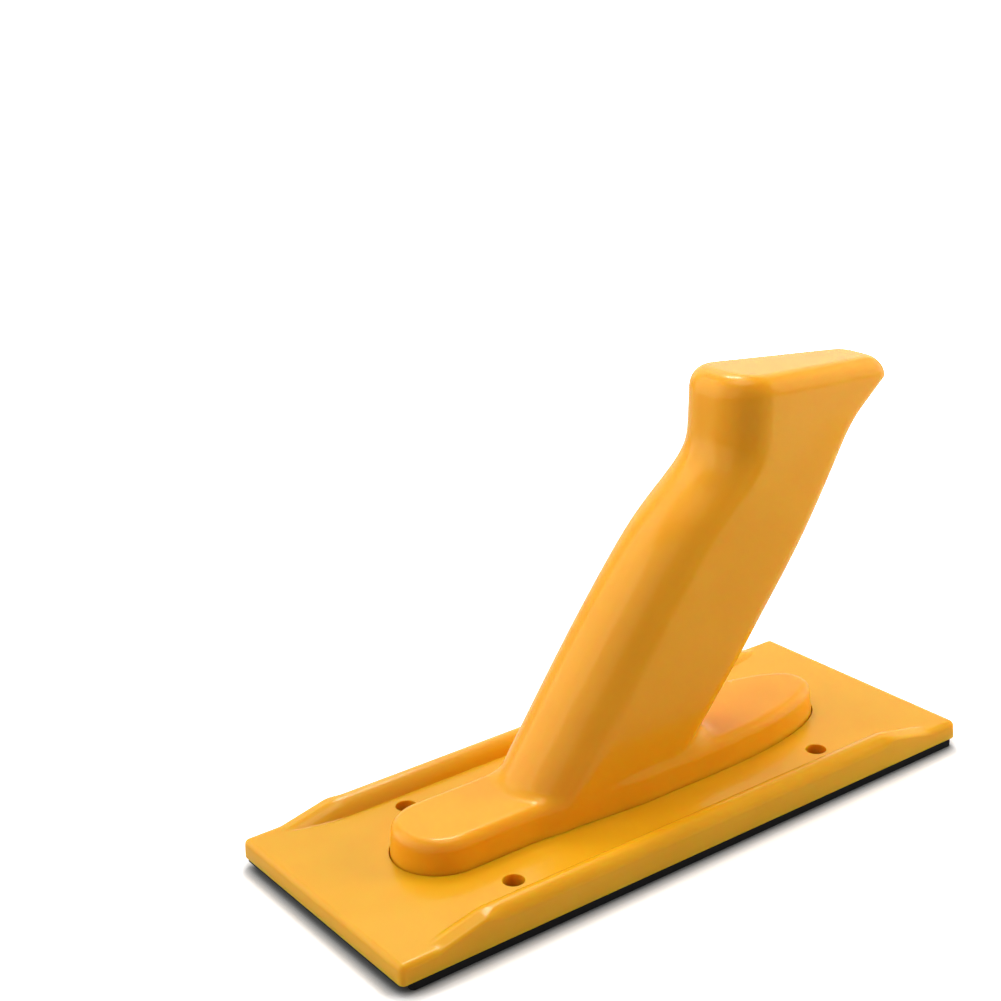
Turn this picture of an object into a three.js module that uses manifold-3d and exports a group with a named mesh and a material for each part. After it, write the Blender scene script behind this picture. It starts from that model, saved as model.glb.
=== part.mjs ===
// A one-hand block: a railed base plate, a slanted pistol grip screwed into a pocket in the plate, and a
// ribbed rubber sole bonded under it. Millimetres, +Z up, +X towards the heel, origin under the middle of
// the plate, level with the sole's underside. The object is symmetric about the XZ plane.
import * as THREE from 'three';
import { mergeVertices } from 'three/addons/utils/BufferGeometryUtils.js';
import Module from 'manifold-3d';

const wasm = await Module();
wasm.setup();

// ---- driving dimensions -------------------------------------------------------------------------

// Rubber sole and its bonding film
const SOLE_INSET = { side: 1, toe: 3.6, heel: 0.5 }; // how far the sole stands back from the plate's edge
const SOLE_CORNER = 1.5;
const SOLE_THICKNESS = 2.25;
const SOLE_RIB_PITCH = 2.5; // lengthwise ribs
const SOLE_GROOVE_WIDTH = 1.1;
const SOLE_GROOVE_DEPTH = 0.7;
const FILM_THICKNESS = 0.75;
const FILM_INSET = { side: 1.3, toe: 0.3, heel: 0.8 }; // how far the film stands back from it
const FILM_CORNER = 1.3;

// Base plate
const PLATE_LENGTH = 200;
const PLATE_WIDTH = 80;
const PLATE_THICKNESS = 5.6;
const PLATE_CORNER = 1.6;
const PLATE_EDGE = 0.8; // chamfer along its upper edge
const PLATE_BOTTOM = SOLE_THICKNESS + FILM_THICKNESS;
const PLATE_TOP = PLATE_BOTTOM + PLATE_THICKNESS;

// The two rails: one along each long side, sinking into the plate at both ends
const RAIL_HEIGHT = 3.8;
const RAIL_WIDTH = 8.7;
const RAIL_CREST = 2.6; // width of the nearly flat top
const RAIL_OUTER_ROUND = 1.4;
const RAIL_RAMP_START = 72.5; // the crest starts to fall this far from the middle
const RAIL_RAMP_END = 89; // and has sunk into the plate here
const RAIL_END = 92; // the rail ends here, hidden in the plate
const RAIL_ROOT = 1; // its underside lies this far above the plate's underside, inside the plate
const RAIL_BULGE_ACROSS = 0.6; // the inner slope bulges: this share of its width is reached
const RAIL_BULGE_DOWN = 0.3; // after this share of its drop
const ROUND_SHARE = 0.3; // middle point of a rounded edge, as a share of its radius from either face

// Round holes through the plate
const HOLE_DIAMETER = 6;
const HOLE_X = 55.3;
const HOLE_Y = 25.5;

// Foot of the grip: a round-nosed tongue at the toe, widening to a lobe at the heel
const FOOT_TOE = -74.6;
const FOOT_HEEL = 75.6;
const TONGUE_HALF_WIDTH = 13.8;
const TONGUE_END = -42; // the sides start to spread here
const LOBE_START = 2; // and have reached their full width here
const LOBE_HALF_WIDTH = 16.9;
const LOBE_MIDDLE = 24; // the heel's oval starts here
const LOBE_FULLNESS = 2.2; // exponent of the heel's oval: 2 is an ellipse
const FOOT_HEIGHT = 8.8; // above the plate
const FOOT_TOP = PLATE_TOP + FOOT_HEIGHT;
const FOOT_EDGE_ROUND = 3.5;
const FOOT_DRAFT = THREE.MathUtils.degToRad(6);

// Pocket in the plate that locates the foot
const POCKET_DEPTH = 2.4;
const POCKET_GAP = 0.45;

// Inside of the handle
const WALL = 3;
const SLANT_FACTOR = 1.35; // level distance through the grip's slanted front and rear, per wall thickness
const CORE_TOP = 94; // the hollow in the grip ends here
const RIB_THICKNESS = 2;
const RIB_X = [-53, 45];
const BOSS_DIAMETER = 8.5;

// Countersunk self-tapping screws
const SCREW_X = { toe_outer: -63, toe_inner: -44, heel_inner: 33, heel_outer: 58 };
const SCREW_SHANK = 3.5;
const SCREW_HEAD = 7;
const SCREW_HEAD_HEIGHT = 1.9;
const SCREW_HEAD_RIM = 0.3;
const SCREW_LENGTH = 10;
const SCREW_TIP = 0.4; // radius of its blunt point
const SCREW_SINK = 0.3; // the head lies this deep under the plate's bottom face
const SCREW_GAP = 0.3;
const RECESS_WIDTH = 1;
const RECESS_SPAN = 3.8;
const RECESS_DEPTH = 1.2;

const CORNER_STEPS = 6;
const FOOT_RING_POINTS = 56;
const ROUNDING_STEPS = 4; // rings in each rounded edge

// ---- materials ----------------------------------------------------------------------------------

const yellow = (shade) => new THREE.MeshStandardMaterial({ color: shade, roughness: 0.25, metalness: 0 });
const plateMaterial = yellow(0xf2a92e);
const handleMaterial = yellow(0xf0a52c);
const rubberMaterial = new THREE.MeshStandardMaterial({ color: 0x17161a, roughness: 0.85, metalness: 0 });
const filmMaterial = new THREE.MeshStandardMaterial({ color: 0x3a393c, roughness: 0.5, metalness: 0 });
const steelMaterial = new THREE.MeshStandardMaterial({ color: 0xb9bcc0, roughness: 0.35, metalness: 1 });

// ---- solids: closed geometries joined and cut ---------------------------------------------------

function toSolid(geometry) {
  const plain = geometry.clone();
  plain.deleteAttribute('normal');
  plain.deleteAttribute('uv');
  const merged = mergeVertices(plain, 1e-4);
  return new wasm.Manifold(new wasm.Mesh({
    numProp: 3,
    vertProperties: new Float32Array(merged.attributes.position.array),
    triVerts: new Uint32Array(merged.index.array),
  }));
}

function toGeometry(solid) {
  const mesh = solid.getMesh();
  const geometry = new THREE.BufferGeometry();
  geometry.setAttribute('position', new THREE.BufferAttribute(mesh.vertProperties, 3));
  geometry.setIndex(new THREE.BufferAttribute(mesh.triVerts, 1));
  return geometry;
}

const joinAll = (solids) => solids.reduce((whole, solid) => whole.add(solid));
const cutAll = (solid, cutters) => cutters.reduce((rest, cutter) => rest.subtract(cutter), solid);

// A closed skin over a stack of rings, lowest first, each an equal number of points that run
// anticlockwise seen from above. The ends are closed by fans from their middle points.
function loft(rings) {
  const count = rings[0].length;
  const positions = rings.flat().flatMap((p) => [p.x, p.y, p.z]);
  const index = [];
  for (let r = 0; r + 1 < rings.length; r += 1) {
    for (let i = 0; i < count; i += 1) {
      const a = r * count + i;
      const b = r * count + ((i + 1) % count);
      index.push(a, b, b + count, a, b + count, a + count);
    }
  }
  const lastRing = (rings.length - 1) * count;
  const ends = [{ ring: rings[0], start: 0, up: false }, { ring: rings.at(-1), start: lastRing, up: true }];
  for (const { ring, start, up } of ends) {
    const middle = ring.reduce((sum, p) => sum.add(p), new THREE.Vector3()).divideScalar(count);
    const hub = positions.length / 3;
    positions.push(middle.x, middle.y, middle.z);
    for (let i = 0; i < count; i += 1) {
      const a = start + i;
      const b = start + ((i + 1) % count);
      index.push(...(up ? [a, b, hub] : [b, a, hub]));
    }
  }
  const geometry = new THREE.BufferGeometry();
  geometry.setAttribute('position', new THREE.Float32BufferAttribute(positions, 3));
  geometry.setIndex(index);
  return geometry;
}

function cylinder(diameter, bottom, top, x, y, segments = 24) {
  const geometry = new THREE.CylinderGeometry(diameter / 2, diameter / 2, top - bottom, segments);
  geometry.rotateX(Math.PI / 2);
  geometry.translate(x, y, (top + bottom) / 2);
  return geometry;
}

function box(sizeX, sizeY, bottom, top, x, y) {
  const geometry = new THREE.BoxGeometry(sizeX, sizeY, top - bottom);
  geometry.translate(x, y, (top + bottom) / 2);
  return geometry;
}

// Solid of revolution about an upright axis at x, from a profile of (radius, z) points, lowest first
function turned(profile, x, segments = 24) {
  const geometry = new THREE.LatheGeometry(profile, segments);
  geometry.rotateX(Math.PI / 2);
  geometry.translate(x, 0, 0);
  return toSolid(geometry);
}

function roundedRectangle(length, width, radius) {
  const shape = new THREE.Shape();
  const x = length / 2;
  const y = width / 2;
  shape.moveTo(-x + radius, -y);
  shape.lineTo(x - radius, -y);
  shape.absarc(x - radius, -y + radius, radius, -Math.PI / 2, 0);
  shape.lineTo(x, y - radius);
  shape.absarc(x - radius, y - radius, radius, 0, Math.PI / 2);
  shape.lineTo(-x + radius, y);
  shape.absarc(-x + radius, y - radius, radius, Math.PI / 2, Math.PI);
  shape.lineTo(-x, -y + radius);
  shape.absarc(-x + radius, -y + radius, radius, Math.PI, Math.PI * 1.5);
  return shape;
}

// The same outline as a ring of [x, y] points, anticlockwise
const rectangleRing = (length, width, radius) => {
  return roundedRectangle(length, width, radius).getPoints(CORNER_STEPS).map(({ x, y }) => [x, y]);
};

function slab(length, width, radius, bottom, top) {
  const outline = roundedRectangle(length, width, radius);
  const options = { depth: top - bottom, bevelEnabled: false, curveSegments: CORNER_STEPS };
  const geometry = new THREE.ExtrudeGeometry(outline, options);
  geometry.translate(0, 0, bottom);
  return geometry;
}

// ---- the foot -----------------------------------------------------------------------------------

// Half-width of the foot at a place along it, with its outline moved outwards by grow
function footHalfWidth(x, grow) {
  const noseMiddle = FOOT_TOE + TONGUE_HALF_WIDTH;
  if (x < noseMiddle) {
    return Math.sqrt(Math.max((TONGUE_HALF_WIDTH + grow) ** 2 - (x - noseMiddle) ** 2, 0));
  }
  if (x < LOBE_MIDDLE) {
    const spread = THREE.MathUtils.smoothstep(x, TONGUE_END, LOBE_START);
    return THREE.MathUtils.lerp(TONGUE_HALF_WIDTH, LOBE_HALF_WIDTH, spread) + grow;
  }
  const reach = Math.min((x - LOBE_MIDDLE) / (FOOT_HEEL + grow - LOBE_MIDDLE), 1);
  return (LOBE_HALF_WIDTH + grow) * (1 - reach ** LOBE_FULLNESS) ** (1 / LOBE_FULLNESS);
}

// One ring round the foot at height z, crowded towards both ends so that they stay round
function footRing(z, grow) {
  const middle = (FOOT_TOE + FOOT_HEEL) / 2;
  const reach = (FOOT_HEEL - FOOT_TOE) / 2 + grow;
  const ring = [];
  for (let i = 0; i < FOOT_RING_POINTS; i += 1) {
    const angle = (2 * Math.PI * i) / FOOT_RING_POINTS;
    const x = middle + reach * Math.cos(angle);
    ring.push(new THREE.Vector3(x, Math.sign(Math.sin(angle)) * footHalfWidth(x, grow), z));
  }
  return ring;
}

// Foot with drafted walls and a rounded upper edge
function foot() {
  const bottom = PLATE_TOP - POCKET_DEPTH;
  const wallTop = FOOT_TOP - FOOT_EDGE_ROUND;
  const wallLean = (z) => -Math.max(z - PLATE_TOP, 0) * Math.tan(FOOT_DRAFT);
  const rings = [bottom, PLATE_TOP, wallTop].map((z) => footRing(z, wallLean(z)));
  for (let step = 1; step <= ROUNDING_STEPS; step += 1) {
    const turn = (Math.PI / 2) * (step / ROUNDING_STEPS);
    const inset = FOOT_EDGE_ROUND * (1 - Math.cos(turn));
    rings.push(footRing(wallTop + FOOT_EDGE_ROUND * Math.sin(turn), wallLean(wallTop) - inset));
  }
  return toSolid(loft(rings));
}

// ---- the grip -----------------------------------------------------------------------------------

// A slice of the grip lies in the plane z = height - tilt x. Its outline runs from front to rear, side
// wide to either side of the middle at the front and side - taper at the rear, with corners of radius
// nose in front and tail behind.
const GRIP_SLICES = [
  { height: 12, tilt: 0, front: -40.5, rear: 14.7, side: 14.4, nose: 13.9, tail: 9, taper: 0 },
  { height: 17, tilt: 0, front: -38, rear: 18.4, side: 15.2, nose: 14.7, tail: 9.5, taper: 0 },
  { height: 35, tilt: 0, front: -24.1, rear: 34.1, side: 15.9, nose: 15.2, tail: 10, taper: 0 },
  { height: 53, tilt: 0, front: -10.4, rear: 49.2, side: 15.8, nose: 15, tail: 10, taper: 0 },
  { height: 69, tilt: 0, front: 2.6, rear: 62.4, side: 15.6, nose: 14.8, tail: 10, taper: 0 },
  { height: 83, tilt: 0, front: 15.8, rear: 72.9, side: 15.2, nose: 14.3, tail: 10, taper: 0.3 },
  { height: 92, tilt: 0.02, front: 26.3, rear: 78.7, side: 14.9, nose: 13.6, tail: 10, taper: 0.8 },
  { height: 100, tilt: 0.045, front: 33, rear: 83.8, side: 14.7, nose: 13, tail: 9.8, taper: 1.6 },
  { height: 106.5, tilt: 0.07, front: 34.8, rear: 88.6, side: 14.6, nose: 12.6, tail: 9.6, taper: 2.5 },
  { height: 112, tilt: 0.09, front: 35.2, rear: 93.6, side: 14.5, nose: 12.4, tail: 9.5, taper: 3.2 },
  { height: 116.5, tilt: 0.1, front: 35.5, rear: 98.3, side: 14.5, nose: 12.3, tail: 9.5, taper: 3.6 },
  { height: 121, tilt: 0.11, front: 35.8, rear: 102.4, side: 14.5, nose: 12.2, tail: 9.5, taper: 3.8 },
];
const HEAD_TOP = 126.3; // the top face meets x = 0 at this height, were it that long
const HEAD_ROUND_SIDE = 4.5; // how far the rounded upper edge reaches in, at the sides and the rear
const HEAD_ROUND_FRONT = 7; // and in front
const NOSE_STEPS = 6;
const SIDE_STEPS = 4;
const TAIL_STEPS = 5;
const SLICE_SPACING = 6;

const SLICE_FIELDS = ['tilt', 'front', 'rear', 'side', 'nose', 'tail', 'taper'];
const sliceCurve = new THREE.CubicInterpolant(
  GRIP_SLICES.map((slice) => slice.height),
  GRIP_SLICES.flatMap((slice) => SLICE_FIELDS.map((field) => slice[field])),
  SLICE_FIELDS.length,
);

function sliceAt(height) {
  const values = sliceCurve.evaluate(height);
  return Object.fromEntries([['height', height], ...SLICE_FIELDS.map((field, i) => [field, values[i]])]);
}

// The same slice with its outline moved inwards, by inset at the sides and rear and insetFront in front
function shrink(slice, inset, insetFront = inset) {
  return {
    ...slice,
    front: slice.front + insetFront,
    rear: slice.rear - inset,
    side: slice.side - inset,
    nose: Math.max(slice.nose - inset, 1),
    tail: Math.max(slice.tail - inset, 1),
  };
}

// One half of a slice's outline, from the middle of its rear to the middle of its front
function halfOutline({ front, rear, side, nose, tail, taper }) {
  const rearSide = side - taper;
  const points = [];
  for (let i = 0; i <= TAIL_STEPS; i += 1) {
    const turn = (Math.PI / 2) * (i / TAIL_STEPS);
    points.push([rear - tail + tail * Math.cos(turn), rearSide - tail + tail * Math.sin(turn)]);
  }
  for (let i = 1; i < SIDE_STEPS; i += 1) {
    const share = i / SIDE_STEPS;
    const x = THREE.MathUtils.lerp(rear - tail, front + nose, share);
    points.push([x, rearSide + taper * share]);
  }
  for (let i = 0; i <= NOSE_STEPS; i += 1) {
    const turn = (Math.PI / 2) * (i / NOSE_STEPS);
    points.push([front + nose - nose * Math.sin(turn), side - nose + nose * Math.cos(turn)]);
  }
  return points;
}

function gripRing(slice) {
  const half = halfOutline(slice);
  const other = half.toReversed().map(([x, y]) => [x, -y]);
  return [...half, ...other].map(([x, y]) => new THREE.Vector3(x, y, slice.height - slice.tilt * x));
}

function grip() {
  const bottom = GRIP_SLICES[0].height;
  const wallTop = GRIP_SLICES.at(-1).height;
  const count = Math.round((wallTop - bottom) / SLICE_SPACING);
  const rings = [];
  for (let i = 0; i <= count; i += 1) {
    rings.push(gripRing(sliceAt(THREE.MathUtils.lerp(bottom, wallTop, i / count))));
  }
  const last = sliceAt(wallTop);
  for (let step = 1; step <= ROUNDING_STEPS; step += 1) {
    const turn = (Math.PI / 2) * (step / ROUNDING_STEPS);
    const inward = 1 - Math.cos(turn);
    const slice = shrink(last, HEAD_ROUND_SIDE * inward, HEAD_ROUND_FRONT * inward);
    slice.height = wallTop + (HEAD_TOP - wallTop) * Math.sin(turn);
    rings.push(gripRing(slice));
  }
  return toSolid(loft(rings));
}

// Hollow inside the grip, one wall thickness inside its skin. The slant makes the wall thinner than the
// level distance between the two skins, so front and rear stand back by more than the sides.
function gripCore() {
  const bottom = GRIP_SLICES[0].height;
  const count = Math.round((CORE_TOP - bottom) / SLICE_SPACING);
  const rings = [];
  for (let i = 0; i <= count; i += 1) {
    const height = THREE.MathUtils.lerp(bottom, CORE_TOP, i / count);
    const slice = shrink(sliceAt(height), WALL, WALL * SLANT_FACTOR);
    slice.rear -= WALL * (SLANT_FACTOR - 1);
    rings.push(gripRing(slice));
  }
  return toSolid(loft(rings));
}

// ---- the named pieces ---------------------------------------------------------------------------

function makeHandle() {
  const bottom = PLATE_TOP - POCKET_DEPTH;
  const roof = FOOT_TOP - WALL;
  const screwPlaces = Object.values(SCREW_X);
  const bosses = screwPlaces.map((x) => toSolid(cylinder(BOSS_DIAMETER, bottom, roof + WALL / 2, x, 0)));
  const ribs = RIB_X.map((x) => {
    return toSolid(box(RIB_THICKNESS, PLATE_WIDTH / 2, bottom, roof + WALL / 2, x, 0));
  });
  const well = toSolid(loft([footRing(bottom - 1, -WALL), footRing(roof, -WALL - 1)]));
  const hollow = cutAll(well.add(gripCore()), [...bosses, ...ribs]);
  const pilotTop = PLATE_BOTTOM + SCREW_SINK + SCREW_LENGTH + SCREW_GAP;
  const pilots = screwPlaces.map((x) => {
    return toSolid(cylinder(SCREW_SHANK + 2 * SCREW_GAP, bottom - 1, pilotTop, x, 0));
  });
  return cutAll(foot().add(grip()), [hollow, ...pilots]);
}

// Rail along one long side: the same cross-section all along, sinking into the plate at both ends
function rail(side) {
  const wall = PLATE_WIDTH / 2;
  const fall = RAIL_HEIGHT / (RAIL_RAMP_END - RAIL_RAMP_START);
  const slope = RAIL_WIDTH - RAIL_OUTER_ROUND - RAIL_CREST;
  const rings = [-RAIL_END, -RAIL_RAMP_START, RAIL_RAMP_START, RAIL_END].map((x) => {
    const crest = PLATE_TOP + RAIL_HEIGHT - fall * (Math.abs(x) - RAIL_RAMP_START);
    const crestEdge = wall - RAIL_OUTER_ROUND;
    const innerEdge = crestEdge - RAIL_CREST;
    const section = [
      [wall, PLATE_BOTTOM + RAIL_ROOT],
      [wall, crest - RAIL_OUTER_ROUND],
      [wall - RAIL_OUTER_ROUND * ROUND_SHARE, crest - RAIL_OUTER_ROUND * ROUND_SHARE],
      [crestEdge, crest],
      [innerEdge, crest],
      [innerEdge - slope * RAIL_BULGE_ACROSS, crest - RAIL_HEIGHT * RAIL_BULGE_DOWN],
      [innerEdge - slope, crest - RAIL_HEIGHT],
      [innerEdge - slope, PLATE_BOTTOM + RAIL_ROOT],
    ];
    const ordered = side > 0 ? section : section.toReversed();
    return ordered.map(([y, z]) => new THREE.Vector3(x, side * y, z));
  });
  return toSolid(loft(rings));
}

// Hole for one screw: a countersink under the plate and a clearance hole through the pocket's floor
function screwHole(x) {
  const reach = SCREW_HEAD / 2 + SCREW_GAP;
  const narrow = SCREW_SHANK / 2 + SCREW_GAP;
  const coneBottom = PLATE_BOTTOM + SCREW_SINK + SCREW_HEAD_RIM + SCREW_GAP;
  const profile = [
    new THREE.Vector2(0, PLATE_BOTTOM - 1),
    new THREE.Vector2(reach, PLATE_BOTTOM - 1),
    new THREE.Vector2(reach, coneBottom),
    new THREE.Vector2(narrow, coneBottom + reach - narrow),
    new THREE.Vector2(narrow, PLATE_TOP + 1),
    new THREE.Vector2(0, PLATE_TOP + 1),
  ];
  return turned(profile, x);
}

function makeBasePlate() {
  const outline = (inset) => rectangleRing(PLATE_LENGTH - 2 * inset, PLATE_WIDTH - 2 * inset, PLATE_CORNER);
  const atHeight = (ring, z) => ring.map(([x, y]) => new THREE.Vector3(x, y, z));
  const slab = toSolid(loft([
    atHeight(outline(0), PLATE_BOTTOM),
    atHeight(outline(0), PLATE_TOP - PLATE_EDGE),
    atHeight(outline(PLATE_EDGE), PLATE_TOP),
  ]));
  const floor = PLATE_TOP - POCKET_DEPTH;
  const pocket = toSolid(loft([footRing(floor, POCKET_GAP), footRing(PLATE_TOP + 1, POCKET_GAP)]));
  const holes = [-HOLE_X, HOLE_X].flatMap((x) => [-HOLE_Y, HOLE_Y].map((y) => {
    return toSolid(cylinder(HOLE_DIAMETER, PLATE_BOTTOM - 1, PLATE_TOP + 1, x, y));
  }));
  const screwHoles = Object.values(SCREW_X).map(screwHole);
  return cutAll(joinAll([slab, rail(1), rail(-1)]), [pocket, ...holes, ...screwHoles]);
}

// Countersunk screw, point up, with the middle of its head's face at the origin
function makeScrew() {
  const head = SCREW_HEAD / 2;
  const shank = SCREW_SHANK / 2;
  const profile = [
    new THREE.Vector2(0, 0),
    new THREE.Vector2(head, 0),
    new THREE.Vector2(head, SCREW_HEAD_RIM),
    new THREE.Vector2(shank, SCREW_HEAD_RIM + head - shank),
    new THREE.Vector2(shank, SCREW_LENGTH - SCREW_SHANK),
    new THREE.Vector2(SCREW_TIP, SCREW_LENGTH),
    new THREE.Vector2(0, SCREW_LENGTH),
  ];
  const slots = [
    toSolid(box(RECESS_SPAN, RECESS_WIDTH, -1, RECESS_DEPTH, 0, 0)),
    toSolid(box(RECESS_WIDTH, RECESS_SPAN, -1, RECESS_DEPTH, 0, 0)),
  ];
  return cutAll(turned(profile, 0), slots);
}

const lengthWithin = (inset) => PLATE_LENGTH - inset.toe - inset.heel;
const widthWithin = (inset) => PLATE_WIDTH - 2 * inset.side;
const middleWithin = (inset) => (inset.toe - inset.heel) / 2;

// Rubber sole, its top face at z = 0: ribs run along it underneath, one of them on the middle line
function makeSole() {
  const width = widthWithin(SOLE_INSET);
  const body = toSolid(slab(lengthWithin(SOLE_INSET), width, SOLE_CORNER, -SOLE_THICKNESS, 0));
  const grooves = [];
  for (let y = SOLE_RIB_PITCH / 2; y < width / 2 - SOLE_GROOVE_WIDTH; y += SOLE_RIB_PITCH) {
    const grooveTop = -SOLE_THICKNESS + SOLE_GROOVE_DEPTH;
    for (const place of [-y, y]) {
      grooves.push(toSolid(box(PLATE_LENGTH, SOLE_GROOVE_WIDTH, -SOLE_THICKNESS - 1, grooveTop, 0, place)));
    }
  }
  return cutAll(body, grooves);
}

// Film that bonds the sole to the plate, its top face at z = 0
function makeFilm() {
  return toSolid(slab(
    lengthWithin(FILM_INSET),
    widthWithin(FILM_INSET),
    FILM_CORNER,
    -FILM_THICKNESS,
    0,
  ));
}

// ---- assembly -----------------------------------------------------------------------------------

function named(name, solid, material, x = 0, z = 0) {
  const mesh = new THREE.Mesh(toGeometry(solid), material);
  mesh.name = name;
  mesh.position.set(x, 0, z);
  return mesh;
}

const group = new THREE.Group();
group.name = 'sanding_block';
group.add(named('base_plate', makeBasePlate(), plateMaterial));
group.add(named('handle', makeHandle(), handleMaterial));
group.add(named('adhesive_film', makeFilm(), filmMaterial, middleWithin(FILM_INSET), PLATE_BOTTOM));
group.add(named('rubber_sole', makeSole(), rubberMaterial, middleWithin(SOLE_INSET), SOLE_THICKNESS));
for (const [place, x] of Object.entries(SCREW_X)) {
  const screw = named(`handle_screw_${place}`, makeScrew(), steelMaterial.clone());
  screw.position.set(x, 0, PLATE_BOTTOM + SCREW_SINK);
  group.add(screw);
}

export default group;
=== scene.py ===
"""A one-hand block: railed base plate, slanted pistol grip and ribbed rubber sole, on a white studio floor.

The pieces are drawn in millimetres in the CAD frame (+X towards the heel, +Z up) and scaled to metres.
"""

import bpy
import numpy as np
from mathutils import Matrix, Vector


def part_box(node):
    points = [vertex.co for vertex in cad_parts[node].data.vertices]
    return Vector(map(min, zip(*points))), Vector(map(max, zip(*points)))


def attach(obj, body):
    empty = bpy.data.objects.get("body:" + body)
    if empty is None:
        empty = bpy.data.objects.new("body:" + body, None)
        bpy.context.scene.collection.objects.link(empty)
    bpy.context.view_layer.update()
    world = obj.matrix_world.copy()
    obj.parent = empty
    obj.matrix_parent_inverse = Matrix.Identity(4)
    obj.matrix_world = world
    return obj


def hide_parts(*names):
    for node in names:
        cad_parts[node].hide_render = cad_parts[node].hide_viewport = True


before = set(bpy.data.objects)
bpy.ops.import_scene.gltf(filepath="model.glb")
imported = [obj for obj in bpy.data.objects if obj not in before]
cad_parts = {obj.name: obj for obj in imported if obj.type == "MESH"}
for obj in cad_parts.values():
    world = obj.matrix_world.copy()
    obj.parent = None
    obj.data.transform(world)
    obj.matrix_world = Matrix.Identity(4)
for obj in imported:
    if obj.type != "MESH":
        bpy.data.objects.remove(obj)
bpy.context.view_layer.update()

MM = 0.001


def box_mm(node):
    """Lowest and highest corner of a CAD node, in millimetres."""
    low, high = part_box(node)
    return np.array(low) / MM, np.array(high) / MM


# ---- sizes, in millimetres ------------------------------------------------------------------------

plate_low, plate_high = box_mm("base_plate")
handle_low, handle_high = box_mm("handle")
sole_low, sole_high = box_mm("rubber_sole")
film_low, film_high = box_mm("adhesive_film")

RAIL_HEIGHT = 3.8
PLATE_BOTTOM = plate_low[2]
PLATE_TOP = plate_high[2] - RAIL_HEIGHT
HALF_LENGTH = plate_high[0]
HALF_WIDTH = plate_high[1]
PLATE_CORNER = 1.6
PLATE_EDGE = 1.6
PLATE_LOWER_EDGE = ((0.35, 0.0), (0.1, 0.1), (0.0, 0.35))  # height above the bottom, distance inwards
PLATE_DRAFT = 0.035  # the walls lean inwards by this much per millimetre of height

RAIL_EDGE = 2.8
RAMP_EDGE = 0.8  # the rail's outer edge is sharper where it runs down at its ends
RAIL_FOOT_Y = 31.3
RAIL_CREST_Y = 36.5
RAIL_CREST_FALL = 0.17  # the crest drops outwards by this much per millimetre
RAIL_SHOULDER = (33.1, 0.86)  # pulls the inner slope outwards: place across, share of the rail's height
RAIL_RAMP_START = 72.5
RAIL_RAMP_END = 89.0
RAIL_RAMP_BLEND = 2.0

HOLE_RADIUS = 3.0
HOLE_X = 55.3
HOLE_Y = 25.5
RIM_ROUND = 0.2

FOOT_TOE = -74.6
FOOT_HEEL = 75.6
TONGUE_HALF_WIDTH = 13.8
TONGUE_END = -42.0
LOBE_START = 2.0
LOBE_HALF_WIDTH = 16.9
LOBE_MIDDLE = 24.0
LOBE_FULLNESS = 2.2
FOOT_TOP = PLATE_TOP + 9.1
FOOT_EDGE_ROUND = 2.9
FOOT_DRAFT = 0.085
POCKET_FLOOR = handle_low[2]
POCKET_GAP = 0.3

# Slices of the grip, each in the plane z = height - tilt x. The columns are height, tilt, front end,
# rear end, half-width, nose radius, tail radius, and how much narrower the tail is than the nose.
GRIP_SLICES = (
    (5.0, 0.0, -47.3, 8.1, 15.0, 14.5, 9.5, 0.0),
    (17.0, 0.0, -38.0, 18.9, 15.3, 14.8, 9.5, 0.0),
    (35.0, 0.0, -24.1, 34.6, 15.9, 15.2, 10.0, 0.0),
    (53.0, 0.0, -10.4, 49.7, 15.8, 15.0, 10.0, 0.0),
    (69.0, 0.0, 2.6, 62.9, 15.6, 14.8, 10.0, 0.0),
    (83.0, 0.0, 15.8, 73.4, 15.2, 14.3, 10.0, 0.3),
    (92.0, 0.02, 26.3, 79.2, 14.9, 13.6, 10.0, 0.8),
    (100.0, 0.045, 33.0, 84.1, 14.7, 13.0, 9.8, 1.6),
    (106.5, 0.07, 34.8, 88.8, 14.6, 12.6, 9.6, 2.5),
    (112.0, 0.09, 35.2, 93.7, 14.5, 12.4, 9.5, 3.2),
    (116.5, 0.10, 35.5, 98.2, 14.5, 12.3, 9.5, 3.6),
    (121.0, 0.11, 35.8, 102.4, 14.5, 12.2, 9.5, 3.8),
)
HEAD_TOP = 125.6
HEAD_TILT = 0.095
HEAD_ROUND_SIDE = 5.5
HEAD_ROUND_FRONT = 7.0
HEAD_ROUND_REAR = 7.5
FILLET_SIDE = 1.4
FILLET_FRONT = 2.6
FILLET_REAR = 10.0
SKIN_CELL = 0.9
SKIN_NUDGE = 0.02  # the step that the slope of the skin's field is measured over, to each side

SOLE_RIB_PITCH = 2.5
SOLE_GROOVE_WIDTH = 1.1
SOLE_GROOVE_DEPTH = 0.7
SOLE_GROOVE_EDGE = 0.15
SOLE_GROOVE_TAPER = 0.1
SOLE_CORNER = 1.5
SOLE_EDGE = 0.2
FILM_CORNER = 1.3
FILM_EDGE = 0.1

CIRCLE_POINTS = 48
FOOT_POINTS = 240
FOOT_TABLE_POINTS = 600
FOOT_TABLE_MARGIN = 12.0
SHARP_ANGLE = 35


# ---- mesh helpers ---------------------------------------------------------------------------------


def new_object(name, points, faces):
    """A smooth-shaded mesh object from points in millimetres and faces."""
    mesh = bpy.data.meshes.new(name)
    mesh.from_pydata((np.asarray(points, float) * MM).tolist(), [], faces)
    mesh.validate()
    mesh.polygons.foreach_set("use_smooth", [True] * len(mesh.polygons))
    obj = bpy.data.objects.new(name, mesh)
    bpy.context.scene.collection.objects.link(obj)
    return obj


def lofted(name, rings):
    """Closed skin over rings of equal length, stacked upwards and anticlockwise seen from above."""
    count = len(rings[0])
    faces = [tuple(reversed(range(count)))]
    for low in range(0, (len(rings) - 1) * count, count):
        for i in range(count):
            j = (i + 1) % count
            faces.append((low + i, low + j, low + count + j, low + count + i))
    last = (len(rings) - 1) * count
    faces.append(tuple(range(last, last + count)))
    return new_object(name, np.concatenate(rings), faces)


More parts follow.
